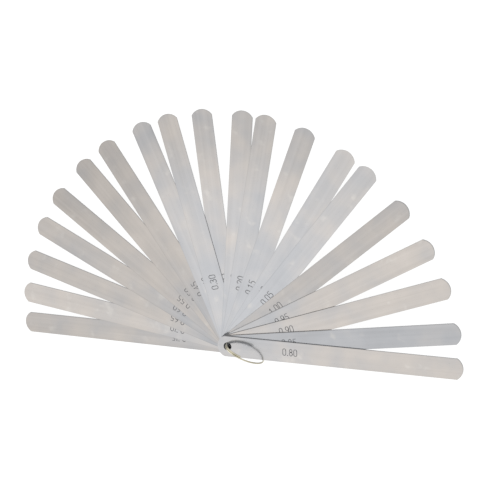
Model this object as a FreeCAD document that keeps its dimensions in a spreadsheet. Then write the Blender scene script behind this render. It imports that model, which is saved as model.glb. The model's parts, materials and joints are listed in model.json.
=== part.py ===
import FreeCAD, Part
import math
import os
import Sketcher

# Feeler gauge set: twenty straight-sided spring-steel leaves, each punched with one hole at its root and
# threaded on a single wire split ring. Millimetres.
#
# Frame: +Z is up and is the axis every leaf swings about. The ring stands on z = 0 along the XZ plane, with
# its top leaning a little towards +Y. The middle of its wire passes through x = y = 0 level with the ring's
# centre, where the leaves are threaded on it, and +X points from there across the loop of the ring.

DRIVING_SIZES = {
    "leaf_width": 12.7,
    "leaf_length": 150.0,
    "root_inset": 6.35,
    "punched_hole": 5.0,
    "tip_radius": 7.5,
    "root_radius": 6.8,
    "corner_radius": 0.5,
    "leaf_gap": 0.05,
    "stack_foot": 2.1,
    "wire_diameter": 0.9,
    "ring_outside": 25.0,
    "wire_pitch": 0.96,
    "wire_turns": 1.6,
    "wire_start": 85.0,
    "spine_piece": 0.25,
    "ring_lean": 7.0,
    "ring_centre_height": 12.45,
    "slack_bottom": -0.5,
    "slack_top": 1.1,
    "side_play_bottom": 0.1,
    "side_play_top": 1.0,
}

# The stack from the bottom up: thickness of the leaf, and the angle from +X that it is fanned out to.
STACK = (
    (0.75, 202.5),
    (0.70, 194.5),
    (0.65, 185.5),
    (0.60, 175.5),
    (0.55, 166.0),
    (0.50, 155.0),
    (0.45, 146.5),
    (0.40, 135.5),
    (0.35, 119.0),
    (0.30, 128.0),
    (0.25, 108.5),
    (0.20, 102.5),
    (0.15, 92.5),
    (0.10, 81.5),
    (0.05, 75.0),
    (1.00, 63.5),
    (0.95, 52.5),
    (0.90, 42.5),
    (0.85, 31.5),
    (0.80, 23.0),
)

UP = FreeCAD.Vector(0, 0, 1)
ACROSS_LOOP = FreeCAD.Vector(1, 0, 0)
SAME_PLACE = 1e-6
WIRE_MIDDLE_RADIUS = "(Sizes.ring_outside - Sizes.wire_diameter) / 2"

doc = FreeCAD.newDocument("FeelerGauge")
sheet = doc.addObject("Spreadsheet::Sheet", "Sizes")


def leaf_word(thickness):
    """Name a leaf by the thickness marked on it, such as blade_0_05."""
    return f"blade_{thickness:.2f}".replace(".", "_")


def fill_sheet():
    """Write every driving size, leaf thickness and rest angle as a plain number with a word for its alias."""
    rows = dict(DRIVING_SIZES)
    for thickness, angle in STACK:
        rows[f"{leaf_word(thickness)}_thick"] = thickness
        rows[f"{leaf_word(thickness)}_angle"] = angle
    for row, (word, value) in enumerate(rows.items(), start=1):
        sheet.set(f"A{row}", word)
        sheet.set(f"B{row}", str(value))
        sheet.setAlias(f"B{row}", word)
    doc.recompute()


def size(word):
    """Read one driving size back from the sheet."""
    return float(sheet.get(word))


def origin_plane(body, role):
    """Find one of the body's own origin planes by its role."""
    for feature in body.Origin.OriginFeatures:
        if feature.Role == role:
            return feature
    raise ValueError(role)


def bind(sketch, constraint, word, expression):
    """Add a named dimension to a sketch and tie it to the sheet."""
    index = sketch.addConstraint(constraint)
    sketch.renameConstraint(index, word)
    sketch.setExpression(f"Constraints.{word}", expression)


def draw_leaf_outline(sketch):
    """Draw a leaf blank: two straight sides, a domed tip, a domed root and the punched hole at the origin."""
    half_width = size("leaf_width") / 2
    tip_radius = size("tip_radius")
    root_radius = size("root_radius")
    tip_centre = size("leaf_length") - size("root_inset") - tip_radius
    root_centre = root_radius - size("root_inset")
    tip_half_angle = math.asin(half_width / tip_radius)
    root_half_angle = math.asin(half_width / root_radius)
    tip_corner = tip_centre + tip_radius * math.cos(tip_half_angle)
    root_corner = root_centre - root_radius * math.cos(root_half_angle)

    def at(along, across):
        """Place a point by its distance from the hole along the leaf and across it."""
        return FreeCAD.Vector(along, across, 0)

    lower = sketch.addGeometry(Part.LineSegment(at(root_corner, -half_width), at(tip_corner, -half_width)))
    tip_circle = Part.Circle(at(tip_centre, 0), UP, tip_radius)
    tip = sketch.addGeometry(Part.ArcOfCircle(tip_circle, -tip_half_angle, tip_half_angle))
    upper = sketch.addGeometry(Part.LineSegment(at(tip_corner, half_width), at(root_corner, half_width)))
    root_circle = Part.Circle(at(root_centre, 0), UP, root_radius)
    root = sketch.addGeometry(
        Part.ArcOfCircle(root_circle, math.pi - root_half_angle, math.pi + root_half_angle)
    )
    hole = sketch.addGeometry(Part.Circle(at(0, 0), UP, size("punched_hole") / 2))

    start, end, centre, sketch_origin, sketch_x_axis = 1, 2, 3, -1, -1
    for first, second in ((lower, tip), (tip, upper), (upper, root), (root, lower)):
        sketch.addConstraint(Sketcher.Constraint("Coincident", first, end, second, start))
    sketch.addConstraint(Sketcher.Constraint("Coincident", hole, centre, sketch_origin, start))
    sketch.addConstraint(Sketcher.Constraint("Horizontal", lower))
    sketch.addConstraint(Sketcher.Constraint("Horizontal", upper))
    for arc in (tip, root):
        sketch.addConstraint(Sketcher.Constraint("PointOnObject", arc, centre, sketch_x_axis))
    bind(
        sketch,
        Sketcher.Constraint("DistanceY", lower, end, upper, start, size("leaf_width")),
        "width",
        "Sizes.leaf_width",
    )
    bind(sketch, Sketcher.Constraint("Radius", tip, tip_radius), "tip_arc", "Sizes.tip_radius")
    bind(sketch, Sketcher.Constraint("Radius", root, root_radius), "root_arc", "Sizes.root_radius")
    bind(sketch, Sketcher.Constraint("Diameter", hole, size("punched_hole")), "hole", "Sizes.punched_hole")
    bind(
        sketch,
        Sketcher.Constraint("DistanceX", sketch_origin, start, tip, centre, tip_centre),
        "tip_reach",
        "Sizes.leaf_length - Sizes.root_inset - Sizes.tip_radius",
    )
    bind(
        sketch,
        Sketcher.Constraint("DistanceX", sketch_origin, start, root, centre, root_centre),
        "root_reach",
        "Sizes.root_radius - Sizes.root_inset",
    )


def corner_edges(shape):
    """List the four short upright edges where a leaf's sides meet its domed ends.

    The seam of the hole is upright too, but lies no further out than the hole's own radius.
    """
    hole_radius = size("punched_hole") / 2
    names = []
    for number, edge in enumerate(shape.Edges, start=1):
        first, last = edge.Vertexes[0].Point, edge.Vertexes[-1].Point
        sideways = math.hypot(first.x - last.x, first.y - last.y)
        upright = abs(first.z - last.z) > SAME_PLACE and sideways < SAME_PLACE
        if upright and abs(first.y) > hole_radius:
            names.append(f"Edge{number}")
    return names


def make_leaf(thickness):
    """Build one leaf flat on its own XY plane, hole centre at its origin, tip along +X."""
    word = leaf_word(thickness)
    body = doc.addObject("PartDesign::Body", word)
    body.Label = word
    sketch = body.newObject("Sketcher::SketchObject", f"{word}_outline")
    sketch.AttachmentSupport = [(origin_plane(body, "XY_Plane"), "")]
    sketch.MapMode = "FlatFace"
    draw_leaf_outline(sketch)
    pad = body.newObject("PartDesign::Pad", f"{word}_blank")
    pad.Profile = sketch
    pad.setExpression("Length", f"Sizes.{word}_thick")
    sketch.Visibility = False
    doc.recompute()
    fillet = body.newObject("PartDesign::Fillet", f"{word}_corners")
    fillet.Base = (pad, corner_edges(pad.Shape))
    fillet.setExpression("Radius", "Sizes.corner_radius")
    body.Tip = fillet
    return body


def ring_mean_radius():
    """Radius of the circle that the middle of the wire follows."""
    return (size("ring_outside") - size("wire_diameter")) / 2


def stack_share(level, word):
    """Run a size evenly from its value at the bottom of the stack to its value at the top."""
    stack_height = sum(thickness for thickness, _ in STACK) + (len(STACK) - 1) * size("leaf_gap")
    share = (level - size("stack_foot")) / stack_height
    bottom, top = size(f"{word}_bottom"), size(f"{word}_top")
    return bottom + share * (top - bottom)


def hole_centre(level):
    """Place a leaf's hole about the wire at one height.

    The wire is an arc of the leaning ring, so low leaves are threaded further along +X than the ones level
    with the ring's centre, and further towards -Y. Each leaf also lies off the wire by the play in its hole,
    which changes evenly up the stack.
    """
    radius = ring_mean_radius()
    lean = math.radians(size("ring_lean"))
    above_centre = level - size("ring_centre_height")
    arc_offset = radius - math.sqrt(radius**2 - (above_centre / math.cos(lean)) ** 2)
    across = above_centre * math.tan(lean)
    return arc_offset + stack_share(level, "slack"), across - stack_share(level, "side_play")


def make_stack():
    """Build every leaf and lay the stack up, each one its gap above the leaf below."""
    bodies = []
    underside = size("stack_foot")
    for thickness, _ in STACK:
        word = leaf_word(thickness)
        body = make_leaf(thickness)
        along, across = hole_centre(underside + thickness / 2)
        position = FreeCAD.Vector(along, across, underside)
        body.Placement = FreeCAD.Placement(position, FreeCAD.Rotation(UP, size(f"{word}_angle")))
        underside += thickness + size("leaf_gap")
        bodies.append(body)
    return bodies


def make_split_ring():
    """Wind round wire into a split ring and stand it up, leaning, with its coils side by side along Y.

    The spine is cut into pieces of a quarter turn, so that the wire's surface is a row of short patches.
    """
    spine = doc.addObject("Part::Helix", "ring_spine")
    spine.setExpression("Radius", WIRE_MIDDLE_RADIUS)
    spine.setExpression("Pitch", "Sizes.wire_pitch")
    spine.setExpression("Height", "Sizes.wire_pitch * Sizes.wire_turns")
    spine.SegmentLength = size("spine_piece")
    section = doc.addObject("Part::Circle", "wire_section")
    section.setExpression("Radius", "Sizes.wire_diameter / 2")
    section.setExpression("Placement.Base.x", WIRE_MIDDLE_RADIUS)
    quarter_turn = FreeCAD.Rotation(ACROSS_LOOP, 90)
    section.Placement.Rotation = quarter_turn
    doc.recompute()
    ring = doc.addObject("Part::Sweep", "split_ring")
    ring.Label = "split_ring"
    ring.Sections = [section]
    ring.Spine = (spine, [f"Edge{number}" for number in range(1, len(spine.Shape.Edges) + 1)])
    ring.Solid = True
    ring.Frenet = True
    half_coil_width = size("wire_pitch") * size("wire_turns") / 2
    wound = FreeCAD.Rotation(UP, size("wire_start"))
    lean = FreeCAD.Rotation(ACROSS_LOOP, -size("ring_lean"))
    centre = FreeCAD.Vector(ring_mean_radius(), 0, size("ring_centre_height"))
    first_coil = centre + lean.multVec(FreeCAD.Vector(0, half_coil_width, 0))
    ring.Placement = FreeCAD.Placement(first_coil, lean.multiply(quarter_turn).multiply(wound))
    return ring


def check_and_write(pieces):
    """Stop on any failed feature or bad solid, then write one STEP file for each piece."""
    doc.recompute()
    failed = [item.Name for item in doc.Objects if {"Invalid", "Error"} & set(item.State)]
    if failed:
        raise RuntimeError(f"failed features: {failed}")
    for piece in pieces:
        shape = piece.Shape
        if shape.isNull() or not shape.isValid() or len(shape.Solids) != 1 or shape.Volume <= 0:
            raise RuntimeError(f"{piece.Label} is not one valid solid")
    os.makedirs("parts", exist_ok=True)
    for piece in pieces:
        piece.Shape.exportStep(f"parts/{piece.Label}.step")
        print(f"{piece.Label}: volume {piece.Shape.Volume:.3f} mm3")


fill_sheet()
check_and_write(make_stack() + [make_split_ring()])
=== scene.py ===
"""Looks of a loose-leaf feeler gauge: twenty ground steel leaves fanned out on a wire split ring.

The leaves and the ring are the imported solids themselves, dressed in worked-out steel finishes. What is added
is the thickness figure etched on each leaf, as thin closed strokes that swing with their leaf, and the
studio: a pale glowing floor, soft light and the camera.
"""

import json
import logging
import math
from dataclasses import dataclass, field
from enum import Enum
from typing import Any

import bpy
import numpy as np
from mathutils import Matrix, Vector


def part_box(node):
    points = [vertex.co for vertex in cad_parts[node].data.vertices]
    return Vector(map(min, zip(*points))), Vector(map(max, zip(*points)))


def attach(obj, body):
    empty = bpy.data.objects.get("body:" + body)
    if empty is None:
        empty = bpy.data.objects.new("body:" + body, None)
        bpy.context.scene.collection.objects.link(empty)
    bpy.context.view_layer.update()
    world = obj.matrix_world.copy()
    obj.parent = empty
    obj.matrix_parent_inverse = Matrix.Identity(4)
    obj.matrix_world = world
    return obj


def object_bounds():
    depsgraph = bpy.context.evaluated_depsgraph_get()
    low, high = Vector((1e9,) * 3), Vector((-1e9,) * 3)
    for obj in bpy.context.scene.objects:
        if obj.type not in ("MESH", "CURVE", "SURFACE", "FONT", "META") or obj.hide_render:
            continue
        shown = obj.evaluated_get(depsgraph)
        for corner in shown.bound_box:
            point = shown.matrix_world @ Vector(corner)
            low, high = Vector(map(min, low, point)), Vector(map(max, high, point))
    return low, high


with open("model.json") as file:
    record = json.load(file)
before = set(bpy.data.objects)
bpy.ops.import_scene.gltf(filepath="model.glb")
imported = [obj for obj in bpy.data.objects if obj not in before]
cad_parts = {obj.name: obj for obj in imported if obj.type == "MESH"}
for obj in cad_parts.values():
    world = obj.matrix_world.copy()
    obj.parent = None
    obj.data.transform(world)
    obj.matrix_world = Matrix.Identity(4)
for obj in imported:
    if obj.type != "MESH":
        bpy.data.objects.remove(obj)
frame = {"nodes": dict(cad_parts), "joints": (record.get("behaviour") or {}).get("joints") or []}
CAD_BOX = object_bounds()
LOG = logging.getLogger("feeler_gauge")
MM = 0.001
Colour = tuple[float, float, float, float]


class Wired:
    """A socket of a shader graph that can be added, multiplied and so on in an expression."""

    def __init__(self, graph: "ShaderGraph", socket: bpy.types.NodeSocket) -> None:
        """Wrap one output socket.

        Args:
            graph: the graph that the socket belongs to.
            socket: the output socket.
        """
        self.graph = graph
        self.socket = socket

    def _math(self, operation: str, *values: Any) -> "Wired":
        """Add one Math node on these values and return its result."""
        inputs = dict(enumerate(values))
        return self.graph.node("ShaderNodeMath", {"operation": operation}, inputs).out("Value")

    def __add__(self, other: Any) -> "Wired":
        """Sum."""
        return self._math("ADD", self, other)

    __radd__ = __add__

    def __sub__(self, other: Any) -> "Wired":
        """Difference."""
        return self._math("SUBTRACT", self, other)

    def __rsub__(self, other: Any) -> "Wired":
        """Difference, with the socket on the right."""
        return self._math("SUBTRACT", other, self)

    def __mul__(self, other: Any) -> "Wired":
        """Product."""
        return self._math("MULTIPLY", self, other)

    __rmul__ = __mul__

    def __abs__(self) -> "Wired":
        """Size without sign."""
        return self._math("ABSOLUTE", self)

    def at_least(self, floor: Any) -> "Wired":
        """The larger of this and another value."""
        return self._math("MAXIMUM", self, floor)

    def at_most(self, ceiling: Any) -> "Wired":
        """The smaller of this and another value."""
        return self._math("MINIMUM", self, ceiling)

    def root(self) -> "Wired":
        """Square root."""
        return self._math("SQRT", self)

    def step(self, start: float, end: float) -> "Wired":
        """Run smoothly from 0 at one value to 1 at another.

        Args:
            start: the value that gives 0.
            end: the value that gives 1.

        Returns:
            The mask.
        """
        settings = {"interpolation_type": "SMOOTHSTEP"}
        values = {"Value": self, "From Min": start, "From Max": end}
        return self.graph.node("ShaderNodeMapRange", settings, values).out("Result")


class MadeNode:
    """A node just made, whose outputs are read by name."""

    def __init__(self, graph: "ShaderGraph", node: bpy.types.Node) -> None:
        """Keep the graph and the node."""
        self.graph = graph
        self.node = node

    def out(self, name: str) -> Wired:
        """Find an output by name.

        Args:
            name: the output's name.

        Returns:
            The enabled output of this name.
        """
        for socket in self.node.outputs:
            if socket.name == name and socket.enabled:
                return Wired(self.graph, socket)
        raise KeyError(name)


class ShaderGraph:
    """The node tree of one material."""

    def __init__(self, name: str) -> None:
        """Make an empty material.

        Args:
            name: the material's name.
        """
        self.material = bpy.data.materials.new(name)
        self.material.use_nodes = True
        self.tree = self.material.node_tree
        self.tree.nodes.clear()

    def node(self, kind: str, settings: dict[str, Any], values: dict[Any, Any]) -> MadeNode:
        """Add a node, set its options and then its sockets.

        Args:
            kind: the node's type.
            settings: options by attribute name, set first because they choose the sockets.
            values: numbers, colours or Wired sockets by socket name or place.

        Returns:
            The node.
        """
        made = self.tree.nodes.new(kind)
        for option, value in settings.items():
            setattr(made, option, value)
        for key, value in values.items():
            self.feed(self.find_input(made, key), value)
        return MadeNode(self, made)

    @staticmethod
    def find_input(made: bpy.types.Node, key: Any) -> bpy.types.NodeSocket:
        """Find an input of a node.

        Args:
            made: the node.
            key: the input's place, or its name.

        Returns:
            The input at that place, or the enabled one of that name.
        """
        if isinstance(key, int):
            return made.inputs[key]
        return next(socket for socket in made.inputs if socket.name == key and socket.enabled)

    def feed(self, socket: bpy.types.NodeSocket, value: Any) -> None:
        """Link a Wired value to a socket, or set a plain one on it.

        Args:
            socket: the input.
            value: a Wired socket, a number or a colour.
        """
        if isinstance(value, Wired):
            self.tree.links.new(value.socket, socket)
        else:
            socket.default_value = value

    def blend(self, mask: Any, first: Any, second: Any) -> Wired:
        """Mix two colours.

        Args:
            mask: how much of the second colour shows, from 0 to 1.
            first: the colour where the mask is 0.
            second: the colour where it is 1.

        Returns:
            The mixed colour.
        """
        settings = {"data_type": "RGBA", "blend_type": "MIX"}
        values = {"Factor": mask, "A": first, "B": second}
        return self.node("ShaderNodeMix", settings, values).out("Result")

    def noise(self, place: Wired, scale: float, detail: float, offset: float) -> Wired:
        """Add smooth noise.

        Args:
            place: where on the piece the point is.
            scale: how many waves there are in a metre.
            detail: how many finer layers are added.
            offset: the place in the fourth dimension, which is the seed.

        Returns:
            The noise, from 0 to 1 about 0.5.
        """
        settings = {"noise_dimensions": "4D"}
        values = {"Vector": place, "W": offset, "Scale": scale, "Detail": detail, "Roughness": 0.5}
        return self.node("ShaderNodeTexNoise", settings, values).out("Fac")

    def stretch(self, place: Wired, scale: tuple[float, float, float]) -> Wired:
        """Scale a place by its own factor along each axis."""
        values = {"Vector": place, "Scale": scale}
        return self.node("ShaderNodeMapping", {"vector_type": "POINT"}, values).out("Vector")

    def vector(self, operation: str, first: Any, second: Any, name: str = "Vector") -> Wired:
        """Add a Vector Math node on two values and return its output of this name."""
        return self.node("ShaderNodeVectorMath", {"operation": operation}, {0: first, 1: second}).out(name)

    def metal(self, colour: Wired, rough: Wired, relief: Wired) -> bpy.types.Material:
        """Finish the material as bare metal.

        Args:
            colour: the metal's colour.
            rough: its roughness.
            relief: the normal that its grain gives.

        Returns:
            The material.
        """
        values = {"Base Color": colour, "Metallic": 1.0, "Roughness": rough, "Normal": relief}
        return self.finish(self.node("ShaderNodeBsdfPrincipled", {}, values))

    def bump(self, height: Wired, strength: float, distance: float) -> Wired:
        """Add a Bump node on a height and return its normal."""
        values = {"Strength": strength, "Distance": distance, "Height": height}
        return self.node("ShaderNodeBump", {}, values).out("Normal")

    def finish(self, shader: MadeNode) -> bpy.types.Material:
        """Wire the shader to the output and return the material."""
        self.node("ShaderNodeOutputMaterial", {}, {"Surface": shader.out("BSDF")})
        return self.material


@dataclass(frozen=True)
class LeafTone:
    """The painted sheen of one leaf along its length: how brightly and how warmly its steel shows the
    surroundings it reflects.

    Attributes:
        root_shade: brightness of the half by the ring, 1 being the plain steel.
        tip_shade: brightness at the tip.
        root_warmth: colour of the half by the ring, 0 a cool grey and 1 a warm one.
        tip_warmth: colour at the tip.
    """

    root_shade: float
    tip_shade: float
    root_warmth: float
    tip_warmth: float


class Sheen(Enum):
    """The painted reflection of the surroundings along a leaf, in a few named kinds."""

    # Painted reflection: each kind sets how bright and how warm the reflected surroundings make the steel, at
    # the root and at the tip.
    BRIGHT_COOL_SHEEN = LeafTone(1.05, 1.0, 0.3, 0.5)
    SHEEN_DIMMER_AT_TIP = LeafTone(1.05, 0.85, 0.4, 0.6)
    DIM_WARM_SHEEN = LeafTone(0.9, 0.75, 0.8, 0.8)
    DIM_SHEEN = LeafTone(0.9, 0.85, 0.7, 0.7)
    BRIGHT = LeafTone(1.0, 1.0, 0.7, 0.8)
    COOL = LeafTone(0.9, 0.9, 0.1, 0.3)

    @classmethod
    def of(cls, thickness: float) -> "Sheen":
        """Choose the sheen of a leaf.

        Args:
            thickness: the leaf's own, in millimetres.

        Returns:
            The sheen, which goes with the thickness, except that two leaves differ from their neighbours:
            0.70 is brighter and 0.85 cooler.
        """
        if thickness == 0.85:
            return cls.COOL
        if thickness <= 0.10:
            return cls.BRIGHT_COOL_SHEEN
        if thickness <= 0.40:
            return cls.SHEEN_DIMMER_AT_TIP
        if thickness <= 0.55:
            return cls.DIM_WARM_SHEEN
        return cls.BRIGHT if thickness == 0.7 or 0.80 <= thickness <= 0.95 else cls.DIM_SHEEN


@dataclass(frozen=True)
class LeafSteel:
    """Ground and lightly oiled spring steel, in a frame that lies along its leaf.

    Attributes:
        cool: the cool grey where the painted sheen and the random stains run cool.
        warm: the warm grey where the painted sheen and the oil stains run warm.
        edge: the dark colour of the sheared side faces, which also paints the shade along them.
        smudge: the colour of a fingerprint.
        roughness: how rough the faces are.
        rim_width: how wide the painted shade along the outline is.
        rim_depth: how much darker the painted shade makes the steel at the outline.
        tip_radius: the radius of the domed tip.
        grain_scale: waves in a metre along, across and through the leaf, for the grinding marks.
        grain_depth: how deep the grinding marks are.
        grain_strength: how much of that depth the light picks out, from 0 to 1.
        streak_scale: the same for the broader streaks.
        blotch_scale: waves in a metre of the broadest stains.
        cloud_scale: the same for the middling ones.
        finger_scale: the same for the fingerprints.
        sheen_stretch: where along the leaf the painted sheen of the root starts and ends its change to the
            tip's.
        cool_stretch: where the cooler tint by the hole starts to fade and where it ends.
    """

    cool: Colour = (0.500, 0.508, 0.528, 1.0)
    warm: Colour = (0.560, 0.520, 0.485, 1.0)
    edge: Colour = (0.260, 0.262, 0.270, 1.0)
    smudge: Colour = (0.680, 0.655, 0.620, 1.0)
    roughness: float = 0.16
    rim_width: float = 0.5 * MM
    rim_depth: float = 0.14
    tip_radius: float = 7.5 * MM
    grain_scale: tuple[float, float, float] = (22.0, 2600.0, 1.0)
    grain_depth: float = 0.02 * MM
    grain_strength: float = 0.04
    streak_scale: tuple[float, float, float] = (9.0, 420.0, 1.0)
    blotch_scale: float = 26.0
    cloud_scale: float = 70.0
    finger_scale: float = 125.0
    sheen_stretch: tuple[float, float] = (75.0 * MM, 140.0 * MM)
    cool_stretch: tuple[float, float] = (25.0 * MM, 75.0 * MM)

    def rim(self, along: Wired, across: Wired, reach: float, half_width: float) -> Wired:
        """Mask the painted shade inside the leaf's sides and its domed tip.

        The gap to the outline is the smaller of the gap to a side and the gap to the circle of the tip.
        Before the tip's centre the circle runs on as a band wider than the leaf, so there the side is nearer.

        Args:
            along: the distance from the hole towards the tip.
            across: the distance from the leaf's middle line.
            reach: how far the tip is from the hole.
            half_width: half the leaf's width.

        Returns:
            The mask, 1 at the outline and 0 from one rim's width inside it.
        """
        past = (along - (reach - self.tip_radius)).at_least(0.0)
        side_gap = half_width - abs(across)
        dome_gap = self.tip_radius - (past * past + across * across).root()
        return 1 - side_gap.at_most(dome_gap).step(0.0, self.rim_width)

    @staticmethod
    def side_face(graph: ShaderGraph) -> Wired:
        """Mask the leaf's sides.

        Args:
            graph: the leaf's finish.

        Returns:
            The mask, 1 where the surface stands upright and 0 where it lies flat.
        """
        normal = graph.node("ShaderNodeNewGeometry", {}, {}).out("Normal")
        flatness = abs(graph.node("ShaderNodeSeparateXYZ", {}, {"Vector": normal}).out("Z"))
        return 1 - flatness.step(0.3, 0.7)

    def dress(
        self, name: str, pivot: Vector, angle: float, size: tuple[float, float], seed: float, tone: LeafTone
    ) -> bpy.types.Material:
        """Make the finish of one leaf.

        Args:
            name: the leaf's name.
            pivot: the centre of its hole.
            angle: the direction of its tip from +X, in radians.
            size: how far the tip is from the hole, and half the leaf's width.
            seed: what sets its blotches apart from other leaves'.
            tone: its painted sheen from root to tip.

        Returns:
            The material.
        """
        graph = ShaderGraph(f"{name}_steel")
        place = graph.node("ShaderNodeTexCoord", {}, {}).out("Object")
        mapped = graph.node(
            "ShaderNodeMapping",
            {"vector_type": "TEXTURE"},
            {"Vector": place, "Location": pivot, "Rotation": (0.0, 0.0, angle)},
        ).out("Vector")
        parts = graph.node("ShaderNodeSeparateXYZ", {}, {"Vector": mapped})
        along, across = parts.out("X"), parts.out("Y")
        grain = graph.noise(graph.stretch(mapped, self.grain_scale), 1.0, 3.0, seed)
        streak = graph.noise(graph.stretch(mapped, self.streak_scale), 1.0, 2.0, seed + 40)
        blotch = graph.noise(mapped, self.blotch_scale, 1.5, seed + 10) - 0.5
        cloud = graph.noise(mapped, self.cloud_scale, 2.0, seed + 20) - 0.5
        finger = graph.noise(mapped, self.finger_scale, 2.5, seed + 30)

        # Painted reflection: the leaf's brightness and warmth run from the root's sheen to the tip's.
        to_tip = along.step(*self.sheen_stretch)
        near_hole = 1 - along.step(*self.cool_stretch)
        warmth = tone.root_warmth + to_tip * (tone.tip_warmth - tone.root_warmth)
        warmth = warmth + blotch * 1.2 + cloud * 0.9 - near_hole * 0.3
        shade = tone.root_shade + to_tip * (tone.tip_shade - tone.root_shade)
        shade = shade + blotch * 0.22 + cloud * 0.20 + (streak - 0.5) * 0.18
        # Painted shade: the steel is darker in a thin band along the leaf's sides and tip.
        shade = shade + (grain - 0.5) * 0.08 - self.rim(along, across, *size) * self.rim_depth

        tint = graph.blend(warmth.step(0.0, 1.0), self.cool, self.warm)
        smeared = graph.blend(finger.step(0.58, 0.76) * 0.45, tint, self.smudge)
        shaded = graph.node(
            "ShaderNodeVectorMath", {"operation": "SCALE"}, {0: smeared, "Scale": shade}
        ).out("Vector")
        side = self.side_face(graph)
        # Painted shade: the upright sides are coloured much darker than the faces, besides their sheared
        # finish.
        colour = graph.blend(side, shaded, self.edge)
        rough = self.roughness + cloud * 0.06 + (grain - 0.5) * 0.05 + side * 0.25
        return graph.metal(colour, rough, graph.bump(grain, self.grain_strength, self.grain_depth))


@dataclass(frozen=True)
class EtchedInk:
    """The dark oxide left in an etched figure."""

    colour: Colour = (0.125, 0.127, 0.133, 1.0)
    worn: Colour = (0.24, 0.24, 0.25, 1.0)
    roughness: float = 0.55
    speckle_scale: float = 2400.0

    def dress(self) -> bpy.types.Material:
        """Make the finish, patchy where the etch is thin.

        Returns:
            The material.
        """
        graph = ShaderGraph("etched_figure")
        place = graph.node("ShaderNodeTexCoord", {}, {}).out("Object")
        speckle = graph.noise(place, self.speckle_scale, 2.0, 1.0)
        colour = graph.blend(speckle.step(0.45, 0.75), self.colour, self.worn)
        rough = self.roughness + (speckle - 0.5) * 0.3
        shader = graph.node(
            "ShaderNodeBsdfPrincipled", {}, {"Base Color": colour, "Metallic": 0.3, "Roughness": rough}
        )
        return graph.finish(shader)


@dataclass(frozen=True)
class RingWire:
    """Drawn steel wire with a thin pale brass plating, with a painted slate grey reflection on the inside of
    the ring.
    """

    plating: Colour = (0.420, 0.390, 0.290, 1.0)
    bright: Colour = (0.680, 0.640, 0.510, 1.0)
    tarnish: Colour = (0.170, 0.160, 0.130, 1.0)
    inside: Colour = (0.300, 0.315, 0.345, 1.0)
    roughness: float = 0.22
    broad_scale: float = 160.0
    fine_scale: float = 1400.0
    draw_depth: float = 0.01 * MM
    draw_strength: float = 0.1

    def inner_side(self, graph: ShaderGraph, place: Wired, centre: Vector) -> Wired:
        """Mask the side of the wire that faces the middle of the ring.

        Args:
            graph: the ring's finish.
            place: where on the ring the point is.
            centre: the middle of the ring.

        Returns:
            The mask, from the angle between the surface and the line from the centre.
        """
        spoke = graph.vector("SUBTRACT", place, centre)
        normal = graph.node("ShaderNodeNewGeometry", {}, {}).out("Normal")
        outward = graph.node("ShaderNodeVectorMath", {"operation": "NORMALIZE"}, {0: spoke}).out("Vector")
        return 1 - graph.vector("DOT_PRODUCT", normal, outward, "Value").step(-0.5, 0.3)

    def dress(self, centre: Vector) -> bpy.types.Material:
        """Make the finish, with dull spots where the plating has tarnished.

        Args:
            centre: the middle of the ring.

        Returns:
            The material.
        """
        graph = ShaderGraph("ring_wire")
        place = graph.node("ShaderNodeTexCoord", {}, {}).out("Object")
        broad = graph.noise(place, self.broad_scale, 2.0, 3.0)
        fine = graph.noise(place, self.fine_scale, 3.0, 5.0)
        plated = graph.blend(broad.step(0.35, 0.65), self.plating, self.bright)
        spotted = graph.blend(fine.step(0.58, 0.80) * 0.4, plated, self.tarnish)
        # Painted reflection: the side facing the ring's middle is coloured slate grey for the dark
        # surroundings it reflects, which also darkens the ring's reflection in the leaf.
        colour = graph.blend(self.inner_side(graph, place, centre) * 0.9, spotted, self.inside)
        rough = self.roughness + (fine - 0.5) * 0.15
        return graph.metal(colour, rough, graph.bump(fine, self.draw_strength, self.draw_depth))


def arc(centre: tuple[float, float], radii: tuple[float, float], start: float, end: float) -> np.ndarray:
    """Points of an elliptical arc: centre plus radii times the cosine and sine of a turning angle.

    Args:
        centre: its centre.
        radii: its half-width and half-height.
        start: the first angle in degrees.
        end: the last angle in degrees.

    Returns:
        An array of points, one about every ten degrees.
    """
    count = max(4, int(abs(end - start) / 10) + 1)
    turn = np.radians(np.linspace(start, end, count))
    return np.stack([centre[0] + radii[0] * np.cos(turn), centre[1] + radii[1] * np.sin(turn)], axis=1)


def joined(*runs: Any) -> np.ndarray:
    """Put points and runs of points end to end in one path."""
    return np.concatenate([np.atleast_2d(np.asarray(run, float)) for run in runs])


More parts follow.
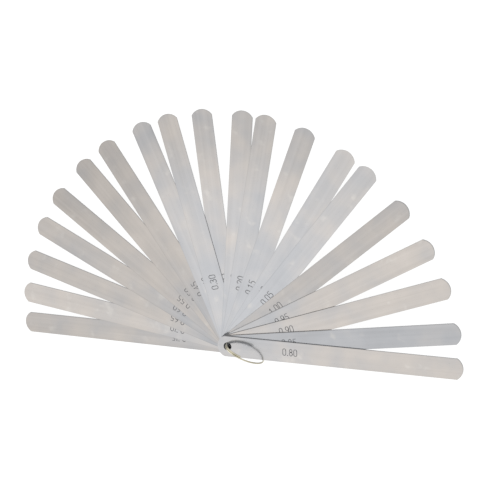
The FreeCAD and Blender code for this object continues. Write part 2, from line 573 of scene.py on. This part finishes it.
class Figures(Enum):
    """The characters of the scale, drawn as strokes in a box one unit high with the foot at the origin."""

    ZERO = "0"
    ONE = "1"
    TWO = "2"
    THREE = "3"
    FOUR = "4"
    FIVE = "5"
    SIX = "6"
    SEVEN = "7"
    EIGHT = "8"
    NINE = "9"
    POINT = "."

    def strokes(self) -> list[np.ndarray]:
        """Draw the character.

        Returns:
            Its paths, which the pen's middle follows.
        """
        wide, mid, top = 0.46, 0.23, 1.0
        upper_half = arc((mid, 0.77), (mid, mid), 0, 180)
        lower_half = arc((mid, mid), (mid, mid), 180, 360)
        round_six = [
            arc((mid, 0.29), (0.23, 0.29), 0, 360),
            joined(arc((0.44, 0.30), (0.44, 0.70), 180, 110), (0.36, top)),
        ]
        drawn = {
            Figures.ZERO: [joined(upper_half, lower_half, (wide, 0.77))],
            Figures.ONE: [joined((0.08, 0.80), (0.26, top), (0.26, 0.0))],
            Figures.TWO: [joined(arc((mid, 0.76), (mid, 0.24), 165, -30), (0.0, 0.0), (wide, 0.0))],
            Figures.THREE: [
                arc((0.20, 0.76), (0.22, 0.24), 150, -90),
                arc((0.20, 0.26), (0.26, 0.26), 90, -150),
            ],
            Figures.FOUR: [joined((0.34, 0.0), (0.34, top), (0.0, 0.28), (0.48, 0.28))],
            Figures.FIVE: [
                joined((0.42, top), (0.07, top), (0.04, 0.56), arc((0.20, 0.31), (0.26, 0.31), 115, -145)),
            ],
            Figures.SIX: round_six,
            Figures.SEVEN: [joined((0.0, top), (wide, top), (0.16, 0.0))],
            Figures.EIGHT: [
                arc((mid, 0.77), (0.19, 0.23), 0, 360),
                arc((mid, 0.27), (0.23, 0.27), 0, 360),
            ],
            Figures.NINE: [np.array([wide, top]) - path for path in round_six],
            Figures.POINT: [joined((0.06, 0.01), (0.06, 0.04))],
        }
        return drawn[self]

    def advance(self) -> float:
        """Return the room the character takes along the line."""
        return 0.32 if self is Figures.POINT else 0.68

    def weight(self) -> float:
        """Return the stroke's width over the pen's: the point is a fat dot."""
        return 1.4 if self is Figures.POINT else 1.0


@dataclass
class EtchedMark:
    """The thickness etched on a leaf, as closed strokes that stand a hair above the steel.

    Attributes:
        leaf: the name of the leaf's node.
        pivot: the centre of the leaf's hole, at the leaf's top face.
        angle: the direction of the tip from +X, in radians.
        height: how tall a figure is.
        pen: the width of a stroke.
        middle: how far the middle of the number is from the hole's centre.
        proud: how far the strokes stand above the leaf.
        sunk: how far they reach into it.
        last_space: the empty room after the last figure, over the figure's height.
    """

    leaf: str
    pivot: Vector
    angle: float
    height: float = 4.5 * MM
    pen: float = 0.42 * MM
    middle: float = 39.3 * MM
    proud: float = 0.012 * MM
    sunk: float = 0.010 * MM
    last_space: float = 0.22

    def text(self) -> str:
        """Return the number, such as 0.80 for blade_0_80."""
        return self.leaf.removeprefix("blade_").replace("_", ".")

    def ribbon(self, path: np.ndarray, pen: float) -> tuple[np.ndarray, np.ndarray]:
        """Carry a flat bar along a path and round its ends.

        Each point of the path gets a normal square to the chord of its neighbours. The half-width is the
        pen's, and falls off as the cosine over one half-width past either end, so the bar ends in a half
        circle. Each station has four corners: left low, left high, right high and right low.

        Args:
            path: the points of the pen's middle, in metres.
            pen: the width of the bar.

        Returns:
            The vertices and the quads.
        """
        steps = np.linalg.norm(np.diff(path, axis=0), axis=1)
        path = path[np.concatenate([[True], steps > 1e-7])]
        half = pen / 2
        rounds = np.radians([80.0, 55.0, 28.0])
        first = (path[1] - path[0]) / np.linalg.norm(path[1] - path[0])
        last = (path[-1] - path[-2]) / np.linalg.norm(path[-1] - path[-2])
        head = path[0] - first * half * np.sin(rounds)[:, None]
        tail = path[-1] + last * half * np.sin(rounds[::-1])[:, None]
        line = np.concatenate([head, path, tail])
        reach = np.concatenate([half * np.cos(rounds), np.full(len(path), half), half * np.cos(rounds[::-1])])
        chord = np.gradient(line, axis=0)
        chord /= np.linalg.norm(chord, axis=1)[:, None]
        normal = np.stack([-chord[:, 1], chord[:, 0]], axis=1) * reach[:, None]
        left, right = line + normal, line - normal
        low = np.full((len(line), 1), -self.sunk)
        high = np.full((len(line), 1), self.proud)
        corners = [(left, low), (left, high), (right, high), (right, low)]
        vertices = np.stack([np.hstack(corner) for corner in corners], axis=1).reshape(-1, 3)
        station = 4 * np.arange(len(line) - 1)[:, None]
        side = np.arange(4)[None, :]
        beside = (side + 1) % 4
        further = station + 4
        quads = np.stack([station + side, station + beside, further + beside, further + side], axis=-1)
        end = 4 * (len(line) - 1)
        caps = np.array([[3, 2, 1, 0], [end, end + 1, end + 2, end + 3]])
        return vertices, np.concatenate([quads.reshape(-1, 4), caps])

    def build(self, ink: bpy.types.Material) -> bpy.types.Object:
        """Lay out the number along the leaf, reading from the hole to the tip.

        Args:
            ink: the finish of the strokes.

        Returns:
            The piece, riding on its leaf.
        """
        figures = [Figures(character) for character in self.text()]
        line_length = sum(figure.advance() for figure in figures) - self.last_space
        pen_start = -line_length / 2
        vertices, faces, count = [], [], 0
        for figure in figures:
            for stroke in figure.strokes():
                flat = (stroke + [pen_start, -0.5]) * (self.height - self.pen) + [self.middle, 0.0]
                points, quads = self.ribbon(flat, self.pen * figure.weight())
                vertices.append(points)
                faces.append(quads + count)
                count += len(points)
            pen_start += figure.advance()
        mesh = bpy.data.meshes.new(self.leaf.replace("blade", "mark"))
        mesh.from_pydata(np.concatenate(vertices).tolist(), [], np.concatenate(faces).tolist())
        mesh.transform(Matrix.Translation(self.pivot) @ Matrix.Rotation(self.angle, 4, "Z"))
        mesh.materials.append(ink)
        mesh.update()
        piece = bpy.data.objects.new(mesh.name, mesh)
        bpy.context.scene.collection.objects.link(piece)
        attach(piece, self.leaf)
        return piece


@dataclass
class Leaf:
    """One leaf of the gauge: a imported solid, its finish and its figure.

    Attributes:
        node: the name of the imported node, which is also its body's.
        seed: what sets its blotches apart from other leaves'.
    """

    node: str
    seed: float

    def thickness(self) -> float:
        """Return the millimetres in the leaf's name, such as 0.8 for blade_0_80."""
        return float(self.node.removeprefix("blade_").replace("_", "."))

    def pivot(self) -> Vector:
        """Find the centre of the hole.

        Returns:
            The hinge's place, lifted to the leaf's top face.
        """
        joint = next(joint for joint in frame["joints"] if joint["child"] == self.node)
        place = Vector(joint["pos_m"])
        place.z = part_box(self.node)[1].z
        return place

    def angle(self) -> float:
        """Find which way the leaf points.

        Returns:
            The direction in radians from the hole to the centroid of the leaf's faces, weighted by area.
        """
        mesh = frame["nodes"][self.node].data
        areas = np.array([face.area for face in mesh.polygons])
        centres = np.array([face.center for face in mesh.polygons])
        centroid = (centres * areas[:, None]).sum(axis=0) / areas.sum()
        pivot = self.pivot()
        return math.atan2(centroid[1] - pivot.y, centroid[0] - pivot.x)

    def size(self, pivot: Vector, angle: float) -> tuple[float, float]:
        """Measure the leaf from its hole.

        Args:
            pivot: the centre of the hole.
            angle: the direction of the tip from +X, in radians.

        Returns:
            How far the tip is from the hole, and the leaf's half-width.
        """
        turned = Matrix.Rotation(-angle, 4, "Z") @ Matrix.Translation(-pivot)
        points = [turned @ vertex.co for vertex in frame["nodes"][self.node].data.vertices]
        return max(point.x for point in points), max(point.y for point in points)

    def build(self, steel: LeafSteel, ink: bpy.types.Material) -> None:
        """Dress the leaf and etch its thickness on it.

        Args:
            steel: the finish of the leaf.
            ink: the finish of the figure.
        """
        pivot, angle = self.pivot(), self.angle()
        tone = Sheen.of(self.thickness()).value
        material = steel.dress(self.node, pivot, angle, self.size(pivot, angle), self.seed, tone)
        paint(frame["nodes"][self.node], material)
        EtchedMark(self.node, pivot, angle).build(ink)
        LOG.info("%s at %.1f degrees", self.node, math.degrees(angle))


def paint(piece: bpy.types.Object, material: bpy.types.Material) -> None:
    """Give every face of a piece one finish."""
    piece.data.materials.clear()
    piece.data.materials.append(material)


@dataclass
class Fan:
    """The leaves in the order of their thickness.

    Attributes:
        steel: the finish of the leaves.
        ink: the finish of the figures.
        seed_step: how far apart the seeds of two leaves are.
    """

    steel: LeafSteel = field(default_factory=LeafSteel)
    ink: EtchedInk = field(default_factory=EtchedInk)
    seed_step: float = 7.3

    def build(self) -> None:
        """Dress every leaf that the frame holds."""
        ink = self.ink.dress()
        leaves = sorted(node for node in frame["nodes"] if node.startswith("blade_"))
        for number, node in enumerate(leaves):
            Leaf(node, self.seed_step * number).build(self.steel, ink)


@dataclass
class SplitRing:
    """The wire ring that the leaves hang on."""

    node: str = "split_ring"
    wire: RingWire = field(default_factory=RingWire)

    def build(self) -> None:
        """Dress the ring's wire about the middle of its box."""
        low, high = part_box(self.node)
        paint(frame["nodes"][self.node], self.wire.dress((low + high) / 2))
        LOG.info("%s dressed", self.node)


@dataclass
class Studio:
    """Pale glowing floor, soft light and the camera.

    Attributes:
        aim: the point the camera looks at.
        azimuth: where the camera stands, in degrees turned from -Y towards +X.
        elevation: how high it looks down from, in degrees.
        roll: how far the camera is turned about its line of sight, in degrees.
        distance: from the camera to the aim.
        lens: focal length on a sensor 36 mm wide.
        floor_half: half the side of the floor.
        floor_gap: how far the floor lies below the ring's foot.
        sky: brightness of the light all round.
        table_glow: brightness of the floor's own light, which takes the shadows out from under the leaves.
    """

    aim: Vector = field(default_factory=lambda: Vector((-13.5, 60.65, 7.85)) * MM)
    azimuth: float = 152.1
    elevation: float = 64.15
    roll: float = -127.6
    distance: float = 1010.5 * MM
    lens: float = 126.07
    floor_half: float = 2.5
    floor_gap: float = 0.2 * MM
    sky: float = 1.1
    table_glow: float = 0.9

    def facing(self, azimuth: float, elevation: float) -> Matrix:
        """Return the turn that points the camera at the aim from an azimuth and elevation."""
        turn, tilt = math.radians(azimuth), math.radians(90 - elevation)
        return Matrix.Rotation(turn, 4, "Z") @ Matrix.Rotation(tilt, 4, "X")

    def floor(self) -> None:
        """Lay a square of pale glowing board just under the ring's foot."""
        half, level = self.floor_half, CAD_BOX[0][2] - self.floor_gap
        mesh = bpy.data.meshes.new("floor")
        corners = [(-half, -half, level), (half, -half, level), (half, half, level), (-half, half, level)]
        mesh.from_pydata(corners, [], [(0, 1, 2, 3)])
        graph = ShaderGraph("pale_board")
        shader = graph.node(
            "ShaderNodeBsdfPrincipled",
            {},
            {
                "Base Color": (0.18, 0.18, 0.18, 1.0),
                "Roughness": 0.9,
                "Emission Color": (1.0, 1.0, 1.0, 1.0),
                "Emission Strength": self.table_glow,
            },
        )
        mesh.materials.append(graph.finish(shader))
        board = bpy.data.objects.new("floor", mesh)
        bpy.context.scene.collection.objects.link(board)

    def light(self) -> None:
        """Surround the gauge with an even white sky."""
        world = bpy.data.worlds.new("soft_sky")
        world.use_nodes = True
        backdrop = world.node_tree.nodes["Background"]
        backdrop.inputs["Color"].default_value = (1.0, 1.0, 1.0, 1.0)
        backdrop.inputs["Strength"].default_value = self.sky
        bpy.context.scene.world = world

    def camera(self) -> None:
        """Stand the camera and make it the scene's."""
        data = bpy.data.cameras.new("camera")
        data.sensor_width = 36.0
        data.lens = self.lens
        data.clip_start = 0.01
        holder = bpy.data.objects.new("camera", data)
        turned = self.facing(self.azimuth, self.elevation)
        place = Matrix.Translation(self.aim + turned @ Vector((0, 0, self.distance)))
        holder.matrix_world = place @ turned @ Matrix.Rotation(math.radians(self.roll), 4, "Z")
        bpy.context.scene.collection.objects.link(holder)
        bpy.context.scene.camera = holder

    def build(self) -> None:
        """Set up the floor, the light and the camera."""
        self.floor()
        self.light()
        self.camera()
        bpy.context.scene.view_settings.view_transform = "Standard"
        LOG.info("studio ready")


def main() -> None:
    """Build the looks in order."""
    logging.basicConfig(level=logging.INFO, format="%(name)s: %(message)s")
    Fan().build()
    SplitRing().build()
    Studio().build()


if __name__ == "__main__":
    main()
